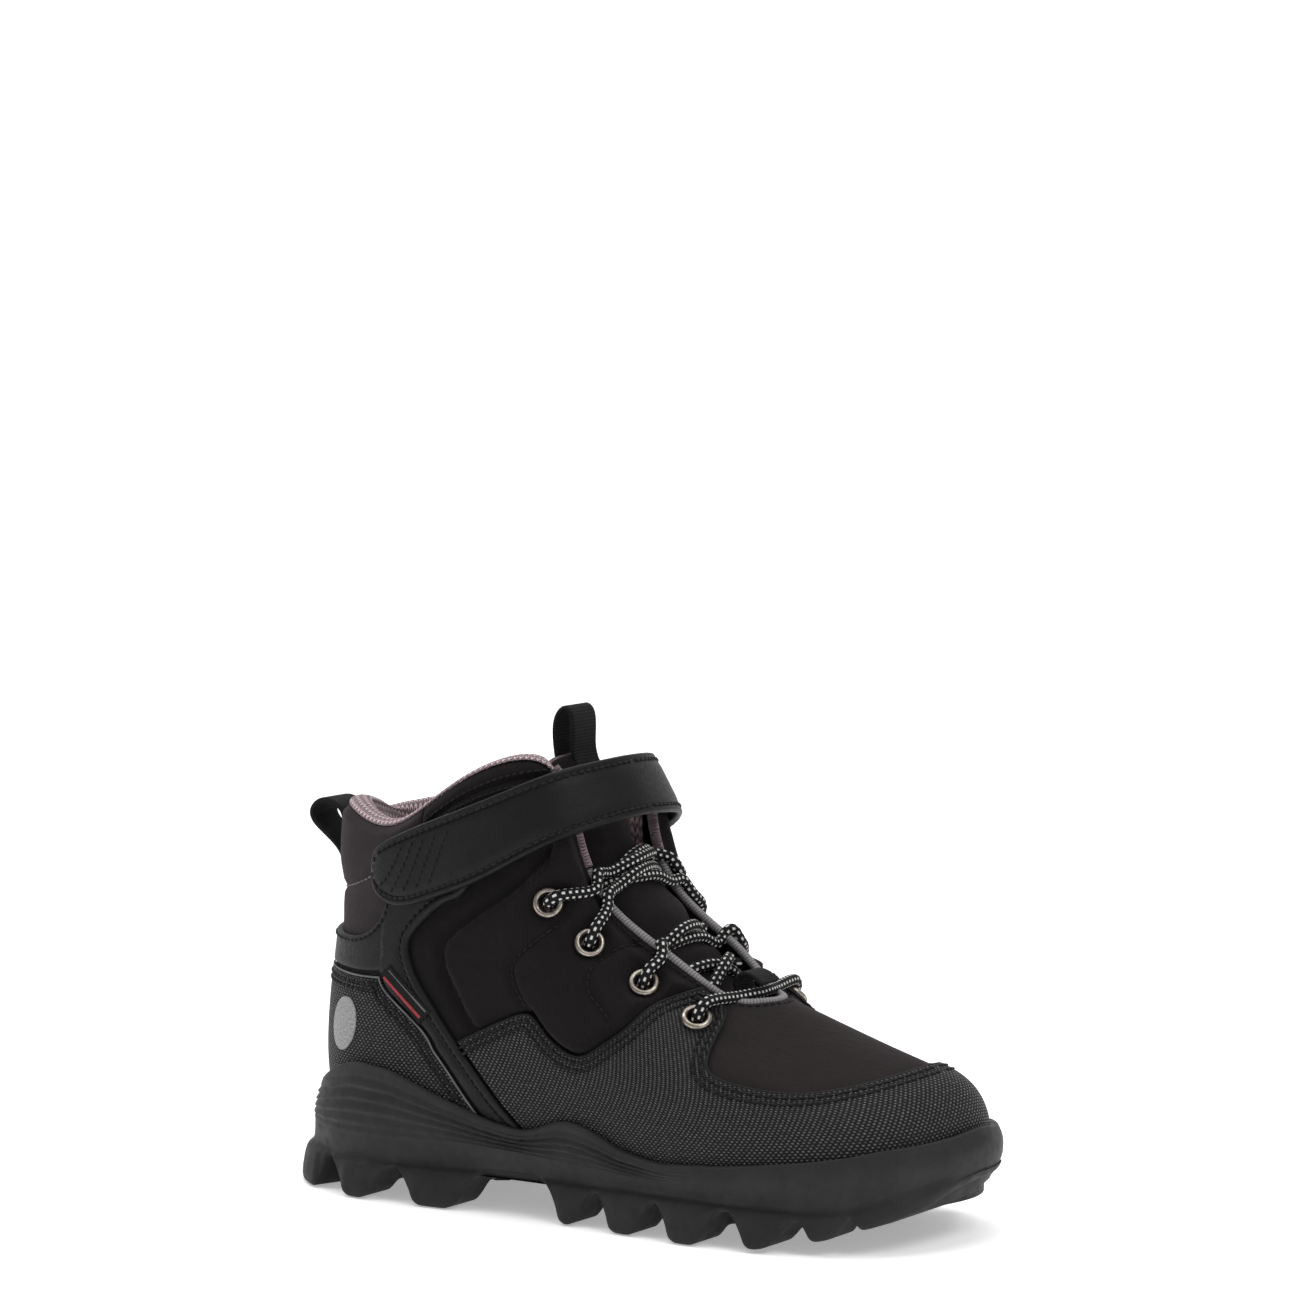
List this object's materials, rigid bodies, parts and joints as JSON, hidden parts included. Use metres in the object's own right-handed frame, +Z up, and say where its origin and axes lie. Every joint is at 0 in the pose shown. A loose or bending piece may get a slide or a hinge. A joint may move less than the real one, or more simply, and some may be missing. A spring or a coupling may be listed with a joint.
{
  "type": "hiking boot",
  "caption": "Child's right mid-height hiking boot with a deep-lugged sole, elastic lacing over a padded tongue and a hook-and-loop ankle strap.",
  "frame": {"origin": "on the ground at the centre of the boot's overall length and width", "axes": "+X towards the toe, -Y the lateral (outer) side, +Y the medial side, +Z up"},
  "size_m": [0.2205, 0.0875, 0.1419],
  "materials": {
    "nubuck": "matt napped",
    "smooth_leather": "satin",
    "coated_mesh": "coated weave, low sheen",
    "rubber": "matt",
    "midsole_foam": "matt moulded foam",
    "mauve_knit": "soft knit",
    "foam": "open-cell foam",
    "fibreboard": "matt board",
    "stiffener": "matt sheet",
    "webbing": "ribbed woven",
    "grey_piping": "woven, slightly reflective",
    "lace_cord": "braided elastic with light flecks",
    "antique_nickel": "antique satin",
    "spring_steel": "bright",
    "hook_tape": "hook and loop tape",
    "reflective_print": "matt print"
  },
  "bodies": {
    "boot": {"outsole": "rubber", "midsole": "midsole_foam", "shank": "spring_steel", "insole_board": "fibreboard", "footbed": "mauve_knit", "lining_lateral": "mauve_knit", "lining_medial": "mauve_knit", "collar_padding": "foam", "toe_puff": "stiffener", "heel_stiffener": "stiffener", "vamp": "nubuck", "quarter_lateral": "nubuck", "quarter_medial": "nubuck", "heel_panel": "nubuck", "heel_counter": "coated_mesh", "heel_band": "smooth_leather", "stay_lateral": "smooth_leather", "stay_medial": "smooth_leather", "mudguard": "coated_mesh", "front_binding_lateral": "mauve_knit", "front_binding_medial": "mauve_knit", "throat_piping": "grey_piping", "heel_loop": "webbing", "strap_anchor": "smooth_leather", "loop_patch": "hook_tape", "side_label": "webbing", "heel_badge": "reflective_print", "elastic_lace": "lace_cord", "eyelet_lateral_1": "antique_nickel", "eyelet_lateral_2": "antique_nickel", "eyelet_lateral_3": "antique_nickel", "eyelet_lateral_4": "antique_nickel", "eyelet_medial_1": "antique_nickel", "eyelet_medial_2": "antique_nickel", "eyelet_medial_3": "antique_nickel", "eyelet_medial_4": "antique_nickel"},
    "tongue": {"tongue": "nubuck", "lace_keeper": "webbing"},
    "tongue_loop": {"tongue_loop": "webbing"},
    "strap_front": {"strap_front": "smooth_leather"},
    "strap_tab": {"strap_tab": "smooth_leather", "hook_patch": "hook_tape"}
  },
  "joints": [
    {"name": "tongue_hinge", "type": "hinge", "parent": "boot", "child": "tongue", "pos_m": [0.04895, 0.00091, 0.05403], "axis": [0, 1, 0], "range_deg": [-8, 3], "deforming": ["elastic_lace"]},
    {"name": "tongue_loop_hinge", "type": "hinge", "parent": "tongue", "child": "tongue_loop", "pos_m": [-0.02092, 0.00091, 0.12947], "axis": [0, 1, 0], "range_deg": [-18, 12]},
    {"name": "strap_open", "type": "hinge", "parent": "boot", "child": "strap_front", "pos_m": [-0.00926, 0.03012, 0.11396], "axis": [-0.4518, -0.136, 0.8817], "range_deg": [0, 80]},
    {"name": "strap_tab_peel", "type": "hinge", "parent": "strap_front", "child": "strap_tab", "pos_m": [-0.01107, -0.03419, 0.11438], "axis": [-0.221, 0.111, 0.9689], "range_deg": [0, 70]}
  ]
}
